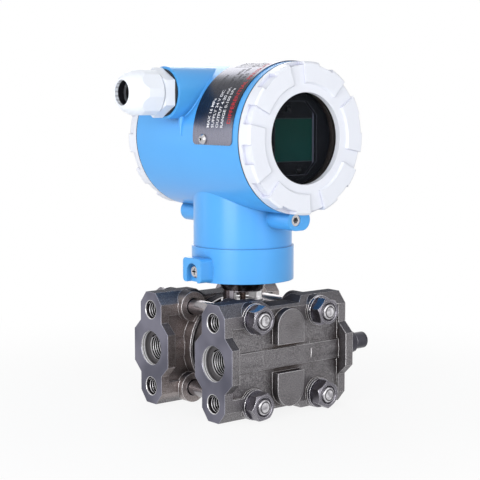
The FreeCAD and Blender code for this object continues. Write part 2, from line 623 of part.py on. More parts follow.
plate = turned("plate_turned", [
    (PLATE_FOOT, "plate_left_y"), (foot, "plate_left_y"), (foot, "plate_right_y"),
    (PLATE_FOOT, "plate_right_y")],
    ("reach", "0", "barrel_z"), "-y", PLATE_LOW - SIZES["plate_angle"], "plate_angle")
plate_round = rounded("plate_rounded", plate, "plate_corner",
                      lambda edge: edge.Length < 2 * number("plate_thick"))
node("nameplate", less("plate", plate_round, *plate_cuts))

lock_screws = []
for side, y, along in (("front", BARREL_FRONT, "y"), ("rear", BARREL_REAR, "-y")):
    grub = cylinder(f"lock_screw_{side}", "lock_screw_r", "lock_screw_long",
                    ("reach", y + (" + 0.4" if side == "front" else " - 0.4"), "lock_z"), along)
    key = prism(f"lock_key_{side}", "0.5*lock_screw_r", "2.5",
                ("reach", y + (" + 0.4" if side == "front" else " - 0.4"), "lock_z"), along)
    lock_screws.append(less(f"lock_screw_made_{side}", grub, key))
node("cover_lock_screws", group("lock_screws", lock_screws))

ground_head = turned("ground_screw_turned", [
    ("0", "-4.5"), ("ground_shank_r", "-4.5"), ("ground_shank_r", "0"), ("ground_head_r", "0"),
    ("ground_head_r", "0.6*ground_head_high"), ("0.8*ground_head_r", "ground_head_high"),
    ("0", "ground_head_high")], (GROUND_FLOOR_X, "0", "ground_recess_z"), "-x")
slots = [box(f"ground_slot_{i}", (GROUND_FLOOR_X + " - ground_head_high", low_y, low_z), size)
         for i, (low_y, low_z, size) in enumerate((
             ("-0.4", "ground_recess_z - 1.7", ("1.0", "0.8", "3.4")),
             ("-1.7", "ground_recess_z - 0.4", ("1.0", "3.4", "0.8"))))]
node("ground_screw", less("ground_screw_made", ground_head, *slots))

# ---------------------------------------------------------------- cable gland and plug
ENTRY = ("entry_y", "entry_z")
ENTRY_X = "reach - entry_face_x"
node("gland_washer", ring("gland_gasket_ring", "gland_thread_r + gap", "gland_washer_r",
                          "gland_gasket", (ENTRY_X,) + ENTRY, "-x"))
gland_hex_end = "gland_gasket + gland_hex_long"
gland_tip = gland_hex_end + " + gland_thread_long"
gland_core = turned("gland_core", [
    ("gland_bore_r", "-1*gland_thread_long"), ("gland_thread_r", "-1*gland_thread_long"),
    ("gland_thread_r", gland_tip), ("gland_seat_r", gland_tip),
    ("gland_seat_r", gland_tip + " - seat_deep"),
    ("gland_bore_r", gland_tip + " - seat_deep - seat_slope")],
    (ENTRY_X,) + ENTRY, "-x")
gland_hex = less("gland_hex_ring",
                 prism("gland_hex", "gland_flats", "gland_hex_long",
                       (ENTRY_X + " - gland_gasket",) + ENTRY, "-x", 0.0),
                 cylinder("gland_hex_bore", "gland_thread_r - 0.5", "gland_hex_long",
                          (ENTRY_X + " - gland_gasket",) + ENTRY, "-x"))
node("gland_body", union("gland_body_made", gland_core, gland_hex))

node("gland_seal", ring("gland_sleeve", "cable_r", "gland_seat_r - fit", "sleeve_long",
                        (ENTRY_X + " + " + minus(gland_tip) + " + seat_deep - sleeve_play",) + ENTRY,
                        "-x"))
nut_foot = gland_hex_end + " + gland_nut_gap"
skirt = "gland_nut_long - gland_dome_long"
dome = turned("gland_dome", [
    ("gland_thread_r + gap", "0"), ("gland_nut_r - 0.5", "0"), ("gland_nut_r", "0.5"),
    ("gland_nut_r", skirt), ("gland_nut_r - 0.7", skirt + " + 2.6"),
    ("gland_nut_r - 1.9", skirt + " + 5.4"), ("gland_nut_r - 3.5", skirt + " + 7.6"),
    ("gland_nut_r - 4.7", "gland_nut_long - 0.3"), ("gland_mouth_r + 0.3", "gland_nut_long"),
    ("gland_mouth_r", "gland_nut_long - 0.3"), ("gland_mouth_r", "gland_nut_long - 5.6"),
    ("gland_thread_r + gap", "gland_nut_long - 6.4")],
    (ENTRY_X + " + " + minus(nut_foot),) + ENTRY, "-x")
nut_hex = prism("gland_nut_hexagon", "gland_nut_flats", "gland_nut_long + 2.0",
                (ENTRY_X + " + " + minus(nut_foot) + " + 1.0",) + ENTRY, "-x", 30.0)
node("gland_nut", overlap("gland_nut_made", dome, nut_hex))

PLUG_X = "reach + entry_face_x"
node("plug_washer", ring("plug_gasket_ring", "gland_thread_r + gap", "plug_head_r",
                         "gland_gasket", (PLUG_X,) + ENTRY, "x"))
plug_blank = turned("plug_turned", [
    ("0", "-1*gland_thread_long"), ("gland_thread_r", "-1*gland_thread_long"),
    ("gland_thread_r", "gland_gasket"), ("plug_head_r", "gland_gasket"),
    ("plug_head_r", "gland_gasket + plug_head - 0.8"),
    ("plug_head_r - 0.8", "gland_gasket + plug_head"), ("0", "gland_gasket + plug_head")],
    (PLUG_X,) + ENTRY, "x")
plug_key = prism("plug_key", "5.0", "6.0", (PLUG_X + " + gland_gasket + plug_head - 6.0",) + ENTRY, "x")
node("conduit_plug", less("plug", plug_blank, plug_key))

# ---------------------------------------------------------------- display and electronics
SCREEN_Z = "barrel_z - screen_low"
MODULE_FRONT = "display_y - bezel_thick"
node("display_module", cylinder("module", "module_r", "module_long",
                                ("reach", minus(MODULE_FRONT), "barrel_z"), "y"))
BOARD_FRONT = MODULE_FRONT + " - module_long"
node("circuit_board", cylinder("board", "board_r", "board_thick",
                               ("reach", minus(BOARD_FRONT), "barrel_z"), "y"))
node("electronics_block", cylinder("electronics", "module_r - 2.0",
                                   BOARD_FRONT + " - board_thick - wall_front_y",
                                   ("reach", minus(BOARD_FRONT + " - board_thick"), "barrel_z"), "y"))

bezel_disc = turned("bezel_disc", [("0", "0"), ("bezel_r", "0"), ("bezel_r", "bezel_thick - 0.6"),
                                   ("bezel_r - 0.6", "bezel_thick"), ("0", "bezel_thick")],
                    ("reach", minus(MODULE_FRONT), "barrel_z"), "-y")
bezel_recess = bar("bezel_recess",
                   outline(("recess_half_x - recess_cut", "recess_half_z"),
                           ("recess_half_x", "recess_half_z - recess_cut")),
                   "bezel_recess + 1.0",
                   ("reach", minus("display_y - bezel_recess"), "barrel_z"), "-y")
bezel_window = box("bezel_window",
                   ("reach - screen_half_x", "-1*display_y - bezel_thick",
                    SCREEN_Z + " - screen_half_z"),
                   ("2*screen_half_x", "3*bezel_thick", "2*screen_half_z"))
# two small screws hold the bezel, one above and one below the screen
bezel_screws, bezel_holes = [], []
for i, sign in enumerate((-1, 1)):
    spot = (f"reach + {sign}*bezel_screw_x", minus(MODULE_FRONT),
            f"{SCREEN_Z} - {sign}*bezel_screw_z")
    floor = "bezel_thick - bezel_recess"
    bezel_holes.append(cylinder(f"bezel_hole_{i}", "0.9", "bezel_thick", spot, "-y"))
    bezel_screws.append(turned(f"bezel_screw_{i}", [
        ("0", "0"), ("0.8", "0"), ("0.8", floor), ("1.6", floor), ("1.6", floor + " + 0.6"),
        ("0.9", floor + " + 1.0"), ("0", floor + " + 1.0")], spot, "-y"))
node("display_bezel", less("bezel", bezel_disc, bezel_recess, bezel_window, *bezel_holes))
node("display_panel", box("panel", ("reach - screen_half_x + 0.1",
                                    "-1*display_y + bezel_recess + 0.1",
                                    SCREEN_Z + " - screen_half_z + 0.1"),
                          ("2*screen_half_x - 0.2", "bezel_thick - bezel_recess - 0.1",
                           "2*screen_half_z - 0.2")))
node("display_screws", group("bezel_screw_set", bezel_screws))

terminal_box = box("terminal_box", ("reach - terminal_half_x", "-1*wall_back_y", "terminal_low_z"),
                   ("2*terminal_half_x", "terminal_thick", "terminal_high_z - terminal_low_z"))
terminal_face = "-1*wall_back_y + terminal_thick"
pockets, screws = [], []
for i in (-1, 0, 1):
    spot = (f"reach + {i}*terminal_pitch", terminal_face, "0.5*terminal_low_z + 0.5*terminal_high_z")
    pockets.append(cylinder(f"terminal_pocket_{i + 1}", "terminal_screw_r + 1.2", "3.0",
                            (spot[0], spot[1] + " - 3.0", spot[2]), "y"))
    screws.append(turned(f"terminal_screw_{i + 1}",
                         [("0", "0"), ("terminal_screw_r", "0"), ("terminal_screw_r", "1.4"),
                          ("0.7*terminal_screw_r", "2.2"), ("0", "2.2")],
                         (spot[0], spot[1] + " - 3.0", spot[2]), "y"))
node("terminal_block", less("terminals", terminal_box, *pockets))
node("terminal_screws", group("terminal_screw_set", screws))


# ---------------------------------------------------------------- covers
def cover(side, windowed, at, along, spin):
    """A screwed cover about its own Z: flange, threaded spigot, and a face with raised sectors."""
    inside = [("spigot_cover_bore", "-1*spigot_cover_long")]
    if windowed:
        inside = [("window_r", "cover_ring"), ("window_r", "glass_lip"), ("glass_r + gap", "glass_lip"),
                  ("glass_r + gap", "-1.6"), ("spigot_cover_bore", "-1.6")] + inside
    else:
        inside = [("0", "cover_ring"), ("0", "1.5"), ("spigot_cover_bore", "1.5")] + inside
    made = turned(f"{side}_cover_made", inside + [
        ("spigot_cover_r", "-1*spigot_cover_long"), ("spigot_cover_r", "0"), ("cover_r", "0"),
        ("cover_r", "cover_top - 1.0"), ("cover_r - 1.0", "cover_top"),
        ("sector_r + 0.8", "cover_top"), ("sector_r", "cover_ring")], at, along, spin)
    doc.recompute()
    grooves(made, f"{side}_cover_channel",
            [("sector_r - 0.6", "cover_ring"), ("cover_r + 1.0", "cover_ring"),
             ("cover_r + 1.0", "cover_top + 1.0"), ("sector_r - 0.6", "cover_top + 1.0")],
            "notch_angle", 6)
    grooves(made, f"{side}_cover_notch",
            [("notch_floor_r", "cover_rim"), ("cover_r + 1.0", "cover_rim"),
             ("cover_r + 1.0", "cover_top + 1.0"), ("notch_floor_r", "cover_top + 1.0")],
            "notch_angle", 12)
    return made


SEAT_FRONT, SEAT_REAR = "-1*barrel_half - seal_gap", "barrel_half + seal_gap"
rear_way = Rotation(Vector(0, 0, 1), 180) * TURN["-y"]
front_spot, rear_spot = ("reach", SEAT_FRONT, "barrel_z"), ("reach", SEAT_REAR, "barrel_z")
node("front_cover", cover("front", True, front_spot, "-y", 41.0))
node("rear_cover", cover("rear", False, rear_spot, rear_way, 39.0))
node("front_cover_seal", ring("front_seal_ring", "seal_in_r", "seal_out_r", "seal_gap",
                              ("reach", BARREL_FRONT, "barrel_z"), "-y"))
node("rear_cover_seal", ring("rear_seal_ring", "seal_in_r", "seal_out_r", "seal_gap",
                             ("reach", BARREL_REAR, "barrel_z"), "y"))
GLASS_TOP = "glass_lip - glass_gasket"
node("window_gasket", ring("glass_gasket_ring", "window_r + 1.0", "glass_r", "glass_gasket",
                           ("reach", SEAT_FRONT + " - glass_lip + glass_gasket", "barrel_z"), "-y"))
node("window_glass", cylinder("glass", "glass_r", "glass_thick",
                              ("reach", SEAT_FRONT + " - glass_lip + glass_gasket + glass_thick",
                               "barrel_z"), "-y"))
node("window_retainer", ring(
    "retainer", "retainer_bore", "glass_r", "retainer_thick",
    ("reach", SEAT_FRONT + " - glass_lip + glass_gasket + glass_thick + retainer_thick", "barrel_z"),
    "-y"))

# ---------------------------------------------------------------- check and write
doc.recompute()
for thing in doc.Objects:
    if {"Invalid", "Error"} & set(thing.State):
        raise RuntimeError(f"{thing.Name} did not rebuild: {thing.State}")
os.makedirs("parts", exist_ok=True)
for name, piece in NODES.items():
    shape = piece.Shape
    if shape.isNull() or not shape.isValid() or not shape.Solids:
        raise RuntimeError(f"{name} has no valid solid")
    shape.exportStep(f"parts/{name}.step")
print(len(NODES), "pieces written")
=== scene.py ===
"""Looks of the differential pressure transmitter: finishes, threads, print, lamps and camera.

Lengths are in metres, written as so many MM.  The display looks along -Y.  The cable gland and
the process ports open toward -X, and the ports' ground faces lie in the plane X = 0.
"""

import json
import math

import bmesh
import bpy
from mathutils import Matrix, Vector


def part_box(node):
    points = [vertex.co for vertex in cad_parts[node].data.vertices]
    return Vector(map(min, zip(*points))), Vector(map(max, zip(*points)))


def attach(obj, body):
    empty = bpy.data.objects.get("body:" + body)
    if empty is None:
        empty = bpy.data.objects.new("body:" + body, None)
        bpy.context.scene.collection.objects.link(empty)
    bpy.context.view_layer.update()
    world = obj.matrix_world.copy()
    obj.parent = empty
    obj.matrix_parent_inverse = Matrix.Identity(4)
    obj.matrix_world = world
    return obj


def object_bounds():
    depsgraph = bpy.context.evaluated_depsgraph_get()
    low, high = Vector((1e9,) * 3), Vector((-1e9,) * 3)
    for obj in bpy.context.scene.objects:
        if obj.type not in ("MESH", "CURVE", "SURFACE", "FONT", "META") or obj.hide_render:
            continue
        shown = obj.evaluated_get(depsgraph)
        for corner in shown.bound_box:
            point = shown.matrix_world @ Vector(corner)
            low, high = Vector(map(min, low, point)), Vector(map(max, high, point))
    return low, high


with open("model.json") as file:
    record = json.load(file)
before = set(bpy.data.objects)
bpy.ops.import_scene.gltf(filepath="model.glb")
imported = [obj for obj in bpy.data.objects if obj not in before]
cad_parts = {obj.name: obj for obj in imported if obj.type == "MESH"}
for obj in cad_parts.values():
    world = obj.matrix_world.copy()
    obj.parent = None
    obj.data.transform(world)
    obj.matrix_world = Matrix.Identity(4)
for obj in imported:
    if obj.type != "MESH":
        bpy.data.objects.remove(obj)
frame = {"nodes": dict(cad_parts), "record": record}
solid_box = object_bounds()
nodes, record = frame["nodes"], frame["record"]
mounts = {mount["name"]: mount for mount in record["mounts"]}
MM = 0.001


def middle(node):
    """Centre of a node's box."""
    low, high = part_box(node)
    return (low + high) / 2


barrel = middle("front_cover")
barrel_radius = 38.4 * MM
entry = Vector(mounts["cable_entry"]["pos_m"])
panel_low, panel_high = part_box("display_panel")
plate_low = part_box("nameplate")[0]
plate_radius = barrel.x - plate_low.x
floor_z = solid_box[0][2]

# ---------------------------------------------------------------- camera and lamps
LENS_MM, SENSOR_MM = 95.81, 36.0
CAMERA_PLACE = (-0.3872, -0.52435, 0.13202)
LOOKS_DOWN_DEG, TURNED_DEG = 6.288, -39.126

LAMPS_AIM = (0.04, 0.0, 0.06)
LAMPS = (  # name, place, width and height, watts
    ("left_box", (-0.85, -0.35, 0.12), (0.55, 0.55), 6.2),
    ("front_left_box", (-0.60, -0.80, 0.38), (0.5, 0.8), 1.6),
    ("front_right_box", (0.15, -1.0, 0.30), (0.5, 0.8), 2.4),
    ("front_strip", (-0.36, -0.92, 0.28), (0.07, 0.9), 0.7),
    ("top_box", (0.0, 0.05, 0.95), (0.9, 0.9), 0.6),
    ("rear_strip", (0.45, 0.75, 0.40), (0.4, 0.8), 2.0),
    ("rear_left_strip", (-0.66, 0.72, 0.10), (0.14, 0.7), 0.5),
)


def set_camera():
    camera = bpy.data.objects.new("camera", bpy.data.cameras.new("camera"))
    camera.data.lens, camera.data.sensor_width = LENS_MM, SENSOR_MM
    camera.location = CAMERA_PLACE
    camera.rotation_euler = (math.radians(90 - LOOKS_DOWN_DEG), 0, math.radians(TURNED_DEG))
    bpy.context.scene.collection.objects.link(camera)
    bpy.context.scene.camera = camera
    bpy.context.scene.view_settings.view_transform = "Standard"


def set_lamp(name, place, size, watts):
    """A soft rectangular lamp pointed at the object."""
    light = bpy.data.objects.new(name, bpy.data.lights.new(name, "AREA"))
    light.data.shape = "RECTANGLE"
    light.data.size, light.data.size_y = size
    light.data.energy = watts
    light.location = place
    toward = Vector(LAMPS_AIM) - Vector(place)
    light.rotation_euler = toward.to_track_quat("-Z", "Y").to_euler()
    bpy.context.scene.collection.objects.link(light)


set_camera()
for row in LAMPS:
    set_lamp(*row)


# ---------------------------------------------------------------- shader maths
class Flow:
    """A value running through a node tree; arithmetic on it adds the nodes."""

    def __init__(self, tree, socket):
        self.tree, self.socket = tree, socket

    def maths(self, kind, *values):
        return self.tree.add("ShaderNodeMath", {"operation": kind}, dict(enumerate(values)))

    def __add__(self, other):
        return self.maths("ADD", self, other)

    def __sub__(self, other):
        return self.maths("SUBTRACT", self, other)

    def __mul__(self, other):
        return self.maths("MULTIPLY", self, other)

    def __rsub__(self, other):
        return self.maths("SUBTRACT", other, self)

    __radd__, __rmul__ = __add__, __mul__

    def above(self, edge, soft):
        """0 below the edge and 1 above it, over a short ramp."""
        return self.tree.add("ShaderNodeMapRange", {"interpolation_type": "SMOOTHSTEP"},
                             {"Value": self, "From Min": edge - soft, "From Max": edge + soft})

    def between(self, low, high, soft):
        """1 between two edges and 0 outside them, over short ramps."""
        return self.above(low, soft) * (1 - self.above(high, soft))

    def larger(self, other):
        return self.maths("MAXIMUM", self, other)

    def sine(self):
        return self.maths("SINE", self)

    def size(self):
        return self.maths("ABSOLUTE", self)

    def angle_to(self, other):
        """Angle of the point (other, self), from the direction of other."""
        return self.maths("ARCTAN2", self, other)

    def length_with(self, other):
        """Distance of the point (self, other) from zero."""
        return self.maths("POWER", self * self + other * other, 0.5)


class Tree:
    """A node tree under construction."""

    def __init__(self, owner):
        owner.use_nodes = True
        self.nodes, self.links = owner.node_tree.nodes, owner.node_tree.links

    def node(self, kind, settings=None, values=None):
        """A new node of a type, with its settings first and then the values or links it takes in."""
        node = self.nodes.new(kind)
        for key, value in (settings or {}).items():
            setattr(node, key, value)
        for key, value in (values or {}).items():
            self.feed(node.inputs[key], value)
        return node

    def add(self, kind, settings=None, values=None, out=0):
        """One output of a new node."""
        return Flow(self, self.node(kind, settings, values).outputs[out])

    def feed(self, socket, value):
        if isinstance(value, Flow):
            self.links.new(value.socket, socket)
        elif socket.type == "RGBA":
            socket.default_value = (*value, 1)
        else:
            socket.default_value = value

    def background_seen(self):
        """1 where the camera looks straight at the background, in metal or through glass."""
        rays = self.node("ShaderNodeLightPath").outputs
        direct, mirrored, through = (Flow(self, rays[f"Is {kind} Ray"])
                                     for kind in ("Camera", "Glossy", "Transmission"))
        return direct.larger(mirrored).larger(through)


class Finish(Tree):
    """A material under construction, with its one shader."""

    def __init__(self, name, colour, roughness, **settings):
        self.material = bpy.data.materials.new(name)
        super().__init__(self.material)
        self.shader = self.nodes["Principled BSDF"]
        self.give("Base Color", colour)
        self.give("Roughness", roughness)
        for key, value in settings.items():
            self.give(key.replace("_", " "), value)
        self.point = None

    def give(self, name, value):
        self.feed(self.shader.inputs[name], value)

    def place(self):
        """The surface point in the object's own coordinates."""
        if self.point is None:
            self.point = self.add("ShaderNodeTexCoord", out="Object")
        return self.point

    def split(self, vector):
        """X, Y and Z of a vector."""
        return [Flow(self, part)
                for part in self.node("ShaderNodeSeparateXYZ", None, {0: vector}).outputs]

    def spot(self, about=(0, 0, 0)):
        """The surface point's X, Y and Z in metres, measured from a place on the object."""
        return self.split(self.add("ShaderNodeVectorMath", {"operation": "SUBTRACT"},
                                   {0: self.place(), 1: tuple(about)}))

    def grain(self, scale, detail, rough=0.5, stretch=(1, 1, 1)):
        """Noise over the object, with its size given as grains per metre."""
        mapped = self.add("ShaderNodeMapping", None, {"Vector": self.place(), "Scale": stretch})
        return self.add("ShaderNodeTexNoise", None, {"Vector": mapped, "Scale": scale,
                                                     "Detail": detail, "Roughness": rough})

    def blend(self, mask, low, high):
        """Colour low where the mask is 0 and high where it is 1."""
        first, second, result = 6, 7, 2  # the colour sockets among those of the same name
        return self.add("ShaderNodeMix", {"data_type": "RGBA"},
                        {"Factor": mask, first: low, second: high}, out=result)

    def rounded(self, radius):
        """The surface's direction, as if its edges were rounded by a radius."""
        return self.add("ShaderNodeBevel", {"samples": 6}, {"Radius": radius})

    def edges(self, radius):
        """1 along the edges that a radius would round, 0 on the faces beside them; the finishes
        lighten their colour by it as a painted highlight.
        """
        low, high = 0.03, 0.15  # 1 less the cosine of the angle that the rounding turns a surface
        flat = self.add("ShaderNodeNewGeometry", out="True Normal")
        along = self.add("ShaderNodeVectorMath", {"operation": "DOT_PRODUCT"},
                         {0: self.rounded(radius), 1: flat}, out="Value")
        return (1 - along).above((low + high) / 2, (high - low) / 2)

    def hollows(self, reach):
        """Ambient occlusion: near 1 deep in the piece's own corners and grooves, 0 in the open; the
        finishes darken their colour by it as painted shade.
        """
        return 1 - self.add("ShaderNodeAmbientOcclusion", {"samples": 4, "only_local": True},
                            {"Distance": reach}, out="AO")

    def facing_up(self):
        """Height of the surface's own normal: 1 on a level top, 0 on a wall."""
        return self.split(self.add("ShaderNodeTexCoord", out="Normal"))[2]

    def relief(self, height, depth, edge):
        """Bump of a depth in metres, over edges rounded by a radius."""
        self.give("Normal", self.add("ShaderNodeBump", None, {
            "Height": height, "Distance": depth, "Strength": 1.0, "Normal": self.rounded(edge)}))

    def soften(self, edge):
        """Edges rounded by a radius, and no bump."""
        self.give("Normal", self.rounded(edge))


# ---------------------------------------------------------------- finishes
SCREEN = (0.003, 0.030, 0.027)
# PLASTIC_RIM: lighter colour painted on black plastic edges as a painted highlight.
PLASTIC_RIM = (0.085, 0.088, 0.115)
WHITE_NYLON_LOW, WHITE_NYLON_HIGH = (0.81, 0.85, 0.93), (0.86, 0.90, 0.96)


def cast_steel():
    """Investment-cast stainless: sandy skin, painted shade in the hollows and on level tops, painted
    highlights on the edges, brighter painted light between the flanges, and the process faces
    ground, with turned counterbores and countersunk bolt holes whose machined steel carries
    painted highlights."""
    port_side = abs(mounts["high_pressure_port"]["pos_m"][1])
    bolt_half = mounts["manifold_bolts"]["dims"]["spacing_y_mm"] * MM / 2
    bolt_radius = mounts["manifold_bolts"]["dims"]["hole_r_mm"] * MM
    bore_radius, bore_depth, sink_depth = 9.6 * MM, 6 * MM, 0.7 * MM
    flange_inner_side = 20 * MM

    mix = Finish("cast_steel", (0.14, 0.13, 0.13), 0.42, Metallic=1.0)
    x, y, z = mix.spot()
    across = y.size() - port_side
    port, bolt = across.length_with(z), across.length_with(z.size() - bolt_half)
    ground = 1 - x.above(0.25 * MM, 0.1 * MM)
    turned = (1 - port.above(bore_radius, 0.1 * MM)) * (1 - x.above(bore_depth, 1 * MM))
    sink = (1 - bolt.above(bolt_radius + 0.2 * MM, 0.1 * MM)) * (1 - x.above(sink_depth, 0.2 * MM))
    inside = 1 - y.size().above(flange_inner_side, 2 * MM)
    sand, skin = mix.grain(1900, 2, 0.7), mix.grain(3200, 3, 0.65)
    cloud, edge_highlight = mix.grain(70, 3, 0.6), mix.edges(0.5 * MM)
    corner_shade = mix.hollows(7 * MM)
    top = mix.facing_up().above(0.7, 0.2)

    cast = mix.blend(cloud.between(0.35, 1.2, 0.2), (0.082, 0.075, 0.077), (0.165, 0.157, 0.166))
    # Painted light: between the flanges the steel's brown tone is brightened where little light
    # reaches.
    cast = mix.blend(inside, cast, mix.blend(cloud, (0.28, 0.232, 0.222), (0.42, 0.375, 0.368)))
    cast = mix.blend(sand.above(0.52, 0.13), mix.blend(0.34, cast, (0.03, 0.027, 0.027)),
                     mix.blend(0.18, cast, (0.7, 0.68, 0.7)))
    # Painted shade: the level tops are darkened.
    cast = mix.blend(top * 0.92, cast, (0.022, 0.023, 0.034))
    # Painted shade: corners and grooves go dark brown, weaker between the flanges.
    cast = mix.blend(corner_shade.above(0.40, 0.2) * (1 - inside * 0.7), cast, (0.040, 0.027, 0.022))
    # Painted highlight: the edges are lightened to near white, less so where the painted corner
    # shade lies.
    cast = mix.blend(edge_highlight * (1 - corner_shade * 0.5), cast, (0.88, 0.86, 0.88))
    face = mix.blend(mix.grain(45, 2, 0.5).above(0.5, 0.22),
                     (0.105, 0.105, 0.137), (0.20, 0.196, 0.245))
    # Painted highlight on the edges of the ground faces as well.
    steel = mix.blend(ground, cast, mix.blend(edge_highlight * 0.6, face, (0.6, 0.6, 0.66)))
    # Counterbores: machined steel pushed near white as a painted highlight in rings, dark bands
    # between them.
    rings = x.between(1.2 * MM, 1.6 * MM, 0.2 * MM) + x.between(2.4 * MM, 4.6 * MM, 0.5 * MM)
    bore = mix.blend(rings, (0.99, 0.98, 1.0), (0.09, 0.085, 0.09))
    bare = (turned * (1 - ground)).above(0.5, 0.1)
    steel = mix.blend(bare, steel, bore)
    # Countersinks: bright machined steel, partly a painted highlight.
    mix.give("Base Color", mix.blend(sink, steel, (0.82, 0.81, 0.82)))
    mix.give("Roughness", 0.35 + cloud * 0.08 - ground * 0.10 + top * 0.4)
    mix.give("Metallic", 1 - bare * 0.75)
    lines = mix.grain(900, 2, 0.5, (1, 0.05, 1))
    rough = (skin * 0.6 + sand * 0.6) * (1 - ground) * (1 - bare)
    mix.relief(rough + lines * ground * 0.2, 0.17 * MM, 0.62 * MM - bare * (0.6 * MM))
    return mix.material


def machined_steel(name="machined_steel", colour=(0.24, 0.23, 0.235), roughness=0.3,
                   edge=0.25 * MM, bright=(0.62, 0.60, 0.62), socket_depth=None):
    """Turned or drawn bar, with fine marks and smudges, painted highlights on its corners and
    painted shade in any sockets.
    """
    mix = Finish(name, colour, roughness, Metallic=1.0)
    smudge = mix.grain(160, 3, 0.6)
    darker = tuple(0.62 * part for part in colour)
    tone = mix.blend(smudge.above(0.5, 0.25), darker, colour)
    # Painted highlight: the corners are lightened to the given highlight colour.
    tone = mix.blend(mix.edges(edge), tone, bright)
    if socket_depth:
        # Painted shade: sockets painted nearly black.
        socket_shade = mix.hollows(socket_depth).above(0.5, 0.15)
        tone = mix.blend(socket_shade, tone, (0.012, 0.012, 0.014))
    mix.give("Base Color", tone)
    mix.give("Roughness", roughness - 0.05 + smudge * 0.14)
    mix.relief(mix.grain(3500, 2, 0.5), 0.02 * MM, edge)
    return mix.material


def stud_steel():
    """Clamp studs: drawn shank, rolled thread and faced ends that catch the light, with a painted
    shade ring on each end face.
    """
    stud_radius, pitch, thread_from = 4.0 * MM, 1.25 * MM, 34 * MM
    low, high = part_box("flange_studs")
    apart = (high - low) / 2 - Vector((stud_radius, 0, stud_radius))

    mix = Finish("stud_steel", (0.36, 0.34, 0.33), 0.26, Metallic=1.0)
    x, y, z = mix.spot((low + high) / 2)
    out = (x.size() - apart.x).length_with(z.size() - apart.z)
    faced = y.size().above(apart.y - 0.15 * MM, 0.05 * MM)
    # Painted shade: a near-black ring on each faced end.
    shade_ring = out.between(stud_radius - 1.5 * MM, stud_radius - 0.8 * MM, 0.15 * MM) * faced
    wave = (y * (2 * math.pi / pitch)).sine() * 0.5 + 0.5
    ends = y.size().above(thread_from, 1 * MM)
    shank = mix.blend(mix.grain(150, 3), (0.24, 0.225, 0.23), (0.42, 0.40, 0.42))
    worn = mix.blend(mix.grain(420, 2).above(0.5, 0.2), (0.34, 0.33, 0.35), (0.74, 0.73, 0.76))
    mix.give("Base Color", mix.blend(shade_ring * 0.85, mix.blend(ends, shank, worn),
                                     (0.03, 0.028, 0.03)))
    mix.relief(wave * ends, 0.3 * MM, 0.3 * MM)
    return mix.material


def neck_steel():
    """Welded neck tube: drawn and polished, streaked along its length, and bright inside."""
    tube_inner_radius = 10.5 * MM
    mix = Finish("neck_steel", (0.3, 0.27, 0.27), 0.2, Metallic=1.0)
    x, y, z = mix.spot(middle("lead_tube"))
    streak = mix.grain(420, 2, 0.6, (1, 1, 0.06))
    inner = 1 - x.length_with(y).above(tube_inner_radius, 0.1 * MM)
    tone = mix.blend(streak.above(0.5, 0.14), (0.10, 0.08, 0.08), (0.32, 0.30, 0.33))
    mix.give("Base Color", mix.blend(inner, tone, (0.92, 0.91, 0.92)))
    mix.give("Roughness", 0.16 + streak * 0.14 + inner * 0.2)
    mix.soften(0.3 * MM)
    return mix.material


def cut_thread(name, start, crest, root):
    """Freshly cut thread: crests painted near white as a painted highlight, roots painted near black
    as painted shade.
    """
    mix = Finish(name, (0.5, 0.49, 0.5), 0.24, Metallic=1.0)
    x, y, z = mix.spot(start)
    deep = y.length_with(z).above(crest * 0.76 + root * 0.24, (root - crest) * 0.2)
    # Painted highlight on the crests, painted shade in the roots.
    mix.give("Base Color", mix.blend(deep, (0.90, 0.89, 0.92), (0.012, 0.010, 0.012)))
    mix.give("Roughness", 0.34 + deep * 0.2)
    return mix.material


def enamel(name, low, high, shade, roughness=0.26):
    """Baked enamel on a die casting: faint orange peel under a glossy skin, with painted shade in
    corners.
    """
    mix = Finish(name, high, roughness, Coat_Weight=0.12, Coat_Roughness=0.12,
                 Specular_IOR_Level=0.36)
    cloud = mix.grain(25, 2, 0.5)
    tone = mix.blend(cloud.between(0.3, 2.0, 0.25), low, high)
    # Painted shade: the colour goes toward the shade colour in corners and grooves.
    mix.give("Base Color", mix.blend(mix.hollows(7 * MM).above(0.46, 0.28) * 0.9, tone, shade))
    mix.give("Roughness", roughness + cloud * 0.08)
    mix.relief(mix.grain(520, 2, 0.5), 0.035 * MM, 0.6 * MM)
    return mix.material


def moulded(name, low, high, roughness, depth=0.01 * MM, rim=None, **settings):
    """Moulded plastic or rubber with a fine skin, its corners lightened to a rim colour as a painted
    highlight.
    """
    mix = Finish(name, high, roughness, **settings)
    skin = mix.grain(1500, 3, 0.6)
    tone = mix.blend(mix.grain(70, 2), low, high)
    mix.give("Base Color", mix.blend(mix.edges(0.5 * MM), tone, rim) if rim else tone)
    mix.give("Roughness", roughness + skin * 0.1 - 0.05)
    mix.relief(skin, depth, 0.3 * MM)
    return mix.material


def gland_nylon():
    """Dome nut of the cable gland: white nylon, a dark throat and the clamping fingers' tips."""
    mouth_radius, throat_from, fingers_from, fingers = 6.7 * MM, -9.9 * MM, -11.6 * MM, 18
    mix = Finish("gland_nylon", (0.84, 0.88, 0.95), 0.34)
    x, y, z = mix.spot(entry)
    mouth = 1 - y.length_with(z).above(mouth_radius, 0.08 * MM)
    throat = mouth * x.above(throat_from, 0.15 * MM)
    ticks = (z.angle_to(y) * fingers).sine().above(0.3, 0.4) * mouth
    ticks = ticks * x.above(fingers_from, 0.2 * MM)
    tone = mix.blend(mix.grain(70, 2), WHITE_NYLON_LOW, WHITE_NYLON_HIGH)
    tone = mix.blend(ticks * 0.6, tone, (0.42, 0.42, 0.47))
    mix.give("Base Color", mix.blend(throat, tone, (0.012, 0.012, 0.016)))
    mix.give("Roughness", 0.30 + mix.grain(1500, 3, 0.6) * 0.1)
    mix.soften(0.3 * MM)
    return mix.material


